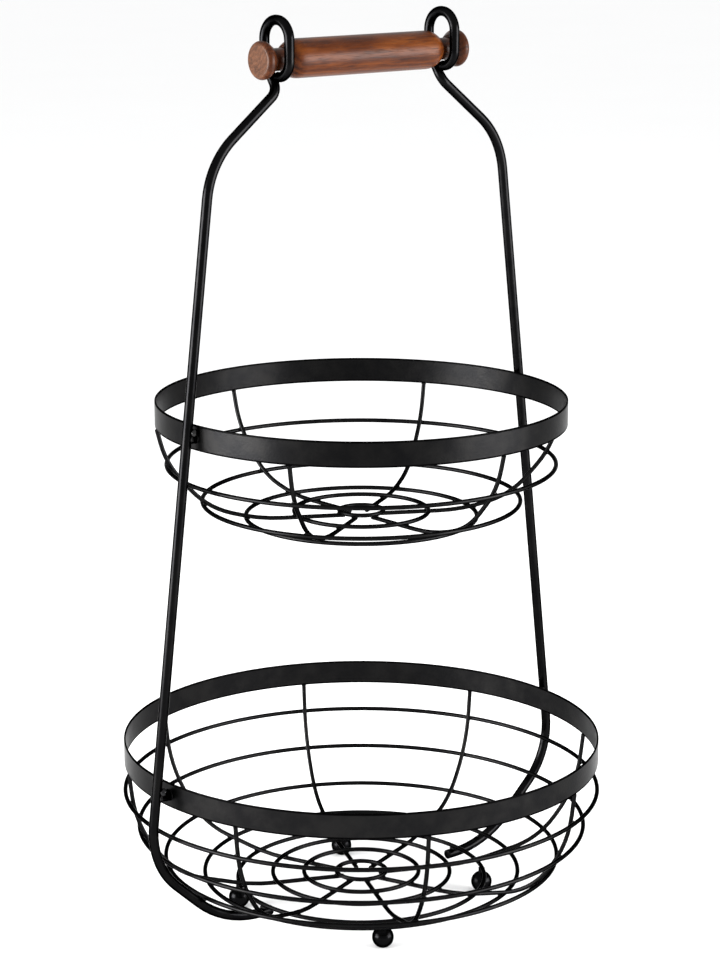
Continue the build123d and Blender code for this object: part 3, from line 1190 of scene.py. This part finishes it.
@dataclass
class Handle:
    """Turned wooden handle: a barrel that spins on a dowel, with a knob glued on each end.

    The two distances of a painted shade tint say where it starts and where it is full, from an end, a face
    or the middle.
    """

    rods: CarryingRods
    barrel_diameter: float = 21 * MM
    end_drop: float = 3.2 * MM
    end_run: float = 4.6 * MM
    barrel_end_bends: tuple[float, float] = (1.6 * MM, 12 * MM)
    knob_end_bends: tuple[float, float] = (1.6 * MM, 3.5 * MM)
    bore_edge_round: float = 0.3 * MM
    running_clearance: float = 0.08 * MM
    knob_diameter: float = 20.5 * MM
    knob_thickness: float = 8.2 * MM
    knob_side_gap: float = 1.6 * MM
    knob_outer_round: float = 2.4 * MM
    knob_socket_depth: float = 5 * MM
    socket_floor_round: float = 0.2 * MM
    glue_gap: float = 0.05 * MM
    dowel_end_round: float = 0.6 * MM
    end_step: float = radians(9)
    steps: int = 96
    # Painted shade in the gap between barrel and knob: over the whole dowel, and on the knobs' inner ends
    # together with a darker stain.
    gap_shade_and_stain: Colour = (0.42, 0.40, 0.45)
    # Painted shade, darkening the barrel towards its rounded ends.
    end_shade: Colour = (0.68, 0.66, 0.66)
    # Darkens the knobs' sides against their end faces: partly side grain, partly painted shade.
    side_grain_and_shade: Colour = (0.72, 0.50, 0.33)
    barrel_tint_from_end: tuple[float, float] = (4.6 * MM, 1.2 * MM)
    side_tint_from_outer_face: tuple[float, float] = (0.06 * MM, 0.6 * MM)
    knob_tint_from_inner_face: tuple[float, float] = (4.6 * MM, 1 * MM)
    dowel_tint_from_middle: tuple[float, float] = (0, 1 * MM)
    knob_pith: tuple[float, float] = (6 * MM, 12 * MM)
    knob_stain: tuple[Colour, ...] = (
        (0.018, 0.0058, 0.0022), (0.042, 0.0146, 0.0055), (0.067, 0.0250, 0.0106), (0.103, 0.0425, 0.0205))

    @property
    def knob_inner_face(self) -> float:
        """Distance of a knob's inner face from the middle of the handle."""
        return self.rods.eye_x + self.rods.wire.radius + self.knob_side_gap

    @property
    def knob_outer_face(self) -> float:
        """Distance of a knob's end face from the middle of the handle."""
        return self.knob_inner_face + self.knob_thickness

    def _finishes(self) -> tuple[StainedWood, StainedWood, StainedWood]:
        """Stains the wood, painting shade at the barrel's ends, on the knobs' sides and inner ends, and on
        the dowel.

        Returns:
            The finishes of the barrel, the dowel and the knobs.
        """
        axis = (0, 0, self.rods.handle_height)
        end, inner, outer = self.rods.barrel_length / 2, self.knob_inner_face, self.knob_outer_face
        # Painted shade towards each end of the barrel.
        barrel_end = (*(end - back for back in self.barrel_tint_from_end), self.end_shade)
        # The knob's rim and side, darker than its end face: partly side grain, partly painted shade.
        knob_side = (*(outer - back for back in self.side_tint_from_outer_face), self.side_grain_and_shade)
        # The knob's inner end is darker: painted shade together with a darker stain.
        knob_inside = (*(inner + on for on in self.knob_tint_from_inner_face), self.gap_shade_and_stain)
        # The whole dowel is darkened: painted shade.
        whole_dowel = (*self.dowel_tint_from_middle, self.gap_shade_and_stain)
        return (
            StainedWood("stained_barrel", Slot.TURNED_WOOD, axis, (barrel_end,)),
            StainedWood("stained_dowel_painted_shade", Slot.DOWEL_WOOD, axis, (whole_dowel,)),
            StainedWood(
                "stained_knobs", Slot.TURNED_WOOD, axis, (knob_side, knob_inside), self.knob_stain,
                pith=self.knob_pith),
        )

    def build(self) -> None:
        """Makes the barrel, the dowel and both knobs."""
        barrel, dowel, knob = self._finishes()
        self._add_turned(self._barrel_line(), Hand.RIGHT, "handle_barrel", Body.GRIP, barrel)
        self._add_turned(self._dowel_line(), Hand.RIGHT, "handle_dowel", Body.HANDLE_CORE, dowel)
        for hand in Hand:
            node = f"handle_knob_{hand.name.lower()}"
            self._add_turned(self._knob_line(), hand, node, Body.HANDLE_CORE, knob)

    def _add_turned(self, line: BentLine, hand: Hand, node: str, body: Body, finish: StainedWood) -> None:
        """Turns an outline and lays it along the handle.

        Args:
            line: Half section with the handle's axis along Z.
            hand: The end that it belongs to.
            node: The CAD node that it replaces.
            body: The body that it rides on.
            finish: Its finish.
        """
        mesh = turned(line, self.steps)
        lay_along_x(mesh, (0, 0, self.rods.handle_height))
        bmesh.ops.scale(mesh, verts=mesh.verts, vec=(hand.value, 1, 1))
        add_piece(mesh, f"{node}_turned", body, finish, [node])

    def _barrel_line(self) -> BentLine:
        """Draws the barrel, a ring with domed ends and eased bore.

        Returns:
            Its half section, from the middle of the bore back to there.
        """
        bore, outer = self.rods.neck_radius + self.running_clearance, self.barrel_diameter / 2
        end = self.rods.barrel_length / 2
        half = ((bore, end), (outer - self.end_drop, end), (outer, end - self.end_run))
        radii = (self.bore_edge_round, *self.barrel_end_bends)
        corners = (*half, *((x, -z) for x, z in reversed(half)))
        return BentLine.in_section(
            ((bore, 0), *corners, (bore, 0)), (*radii, *reversed(radii)), step_angle=self.end_step)

    def _dowel_line(self) -> BentLine:
        """Draws the dowel, which fills the knobs' sockets.

        Returns:
            Its half section, from axis to axis.
        """
        end, radius = self.knob_inner_face + self.knob_socket_depth - self.glue_gap, self.rods.neck_radius
        points = ((0, -end), (radius, -end), (radius, end), (0, end))
        return BentLine.in_section(points, (self.dowel_end_round, self.dowel_end_round))

    def _knob_line(self) -> BentLine:
        """Draws a knob with its blind socket.

        Returns:
            Its half section, from axis to axis.
        """
        inner, outer = self.knob_inner_face, self.knob_outer_face
        floor = inner + self.knob_socket_depth
        socket, rim = self.rods.neck_radius + self.glue_gap, self.knob_diameter / 2
        shoulder = ((rim - self.end_drop, inner), (rim, inner + self.end_run))
        points = ((0, floor), (socket, floor), (socket, inner), *shoulder, (rim, outer), (0, outer))
        radii = (self.socket_floor_round, self.bore_edge_round, *self.knob_end_bends, self.knob_outer_round)
        return BentLine.in_section(points, radii, step_angle=self.end_step)


# The studio


@dataclass(frozen=True)
class Softbox:
    """One soft rectangular studio lamp."""

    name: str
    place: Triple
    aims_at: Triple
    width: float
    height: float
    watts: float

    def build(self) -> None:
        """Hangs the lamp."""
        data = bpy.data.lights.new(self.name, "AREA")
        data.shape = "RECTANGLE"
        data.size, data.size_y = self.width, self.height
        data.energy = self.watts
        lamp = bpy.data.objects.new(self.name, data)
        lamp.location = self.place
        towards = Vector(self.aims_at) - Vector(self.place)
        lamp.rotation_euler = towards.to_track_quat("-Z", "Y").to_euler()
        bpy.context.scene.collection.objects.link(lamp)


@dataclass
class Studio:
    """Pale floor, soft light and the camera of the photograph."""

    aim: Triple = (0, 0, 249.2 * MM)
    distance: float = 1507.43 * MM
    azimuth: float = radians(-39.7)
    elevation: float = 0.2345
    lens: float = 101.32
    sensor: float = 36.0
    shift_x: float = -0.00133
    floor_size: float = 30.0
    floor: PaleFloor = PaleFloor()
    sky: Colour = (0.995, 0.998, 1.0)
    sky_strength: float = 1.05
    softboxes: tuple[Softbox, ...] = (
        Softbox("left_softbox", (-1.575, 0.564, 0.40), (0, 0, 0.24), 1.1, 0.8, 92),
        Softbox("right_softbox", (0.91, -1.34, 0.46), (0, 0, 0.35), 1.2, 0.85, 64),
    )

    def build(self) -> None:
        """Sets up the camera first, then the floor and the light."""
        self._build_camera()
        self._build_floor()
        self._build_sky()
        for softbox in self.softboxes:
            softbox.build()

    def _build_camera(self) -> None:
        """Places the camera where the photograph was taken from."""
        data = bpy.data.cameras.new("photo_camera")
        data.lens = self.lens
        data.sensor_width = self.sensor
        data.sensor_fit = "AUTO"
        data.shift_x = self.shift_x
        camera = bpy.data.objects.new("photo_camera", data)
        level, upward = cos(self.elevation), sin(self.elevation)
        back = Vector((sin(self.azimuth) * level, -cos(self.azimuth) * level, upward))
        camera.location = Vector(self.aim) + back * self.distance
        camera.rotation_euler = (-back).to_track_quat("-Z", "Y").to_euler()
        bpy.context.scene.collection.objects.link(camera)
        bpy.context.scene.camera = camera

    def _build_floor(self) -> None:
        """Lays the floor."""
        mesh = bmesh.new()
        bmesh.ops.create_grid(mesh, x_segments=1, y_segments=1, size=self.floor_size / 2)
        data = bpy.data.meshes.new("studio_floor")
        mesh.to_mesh(data)
        mesh.free()
        data.materials.append(material_of(self.floor))
        floor = bpy.data.objects.new("studio_floor", data)
        bpy.context.scene.collection.objects.link(floor)

    def _build_sky(self) -> None:
        """Fills the room with even light."""
        world = bpy.data.worlds.new("studio_sky")
        world.use_nodes = True
        background = world.node_tree.nodes["Background"]
        background.inputs["Color"].default_value = (*self.sky, 1)
        background.inputs["Strength"].default_value = self.sky_strength
        bpy.context.scene.world = world


def design_bowls() -> tuple[Bowl, Bowl]:
    """Gives the two bowls their sizes and finishes.

    Returns:
        The lower and the upper bowl.
    """
    wire = CoatedSteel(
        "black_coat_thin_wire", Slot.THIN_WIRE, deep=(0.0058, 0.0058, 0.0061), thin=(0.0102, 0.0099, 0.0098),
        roughness=(0.30, 0.40))
    band = CoatedSteel(
        "black_coat_band", Slot.RIM_BAND, deep=(0.0058, 0.0058, 0.0061), thin=(0.0102, 0.0099, 0.0097),
        roughness=(0.27, 0.35), peel=Pattern(1.1 * MM), grit=Pattern(0.4 * MM, 1, 0.5, 0.6, 0.78),
        relief_depth=0.07 * MM, edge_tint=0.58)
    # Lighter copy of the band coat for the lower band: painted light, so it looks brighter than the upper
    # band.
    lit_lower_band = replace(
        band, name="black_coat_lower_band", deep=(0.0080, 0.0080, 0.0084), thin=(0.0144, 0.0140, 0.0137))
    # Darker, rougher copy of the band coat for the bands' rounded edges: painted shade.
    edge = CoatedSteel(
        "black_coat_band_edge", Slot.RIM_BAND, deep=(0.0012, 0.0012, 0.0013), thin=(0.0022, 0.0021, 0.0021),
        roughness=(0.35, 0.48))
    lower = Bowl(
        name="lower", rim_radius=135 * MM, rim_height=102 * MM, floor_height=15.2 * MM,
        outline_shares=((0.9725, 0.438), (0.798, 0.851), (0.474, 1.0)),
        outline_bends=(70 * MM, 45 * MM, 100 * MM),
        rib_count=8, first_rib=radians(20.6), rib_end_radius=10.5 * MM,
        outer_rings={
            "side_ring_1": 0.1, "side_ring_2": 0.234, "side_ring_3": 0.376, "corner_ring": 0.52,
            "base_ring": 0.637},
        floor_rings={"floor_ring_1": 0.756, "floor_ring_2": 0.864, "floor_ring_3": 0.977},
        wire_finish=wire, band_finish=lit_lower_band, painted_edge_shade=edge)
    upper = Bowl(
        name="upper", rim_radius=114.4 * MM, rim_height=296.7 * MM, floor_height=229.6 * MM,
        outline_shares=((0.958, 0.363), (0.761, 0.848), (0.514, 1.0)),
        outline_bends=(50 * MM, 45 * MM, 100 * MM),
        rib_count=6, first_rib=radians(31.3), rib_end_radius=9.3 * MM,
        outer_rings={"side_ring_1": 0.173, "side_ring_2": 0.388, "base_ring": 0.58},
        floor_rings={"floor_ring_1": 0.784, "floor_ring_2": 0.977},
        wire_finish=wire, band_finish=band, painted_edge_shade=edge)
    return lower, upper


def main() -> None:
    """Builds the studio and the basket, piece by piece."""
    logging.basicConfig(level=logging.INFO, format="%(message)s")
    bpy.context.scene.view_settings.view_transform = "Standard"
    Studio().build()
    lower, upper = design_bowls()
    coat = CoatedSteel("black_coat_rod", Slot.ROD_WIRE)
    # The weld beads take a lighter copy of the rod coat: painted glints.
    weld = CoatedSteel(
        "black_coat_weld_painted_glint", Slot.ROD_WIRE, deep=(0.018, 0.018, 0.019), thin=(0.042, 0.041, 0.040),
        roughness=(0.17, 0.26))
    rods = CarryingRods(lower, upper, coat, weld)
    for part in (lower, upper, rods, Feet(lower, coat), Handle(rods)):
        part.build()


if __name__ == "__main__":
    main()
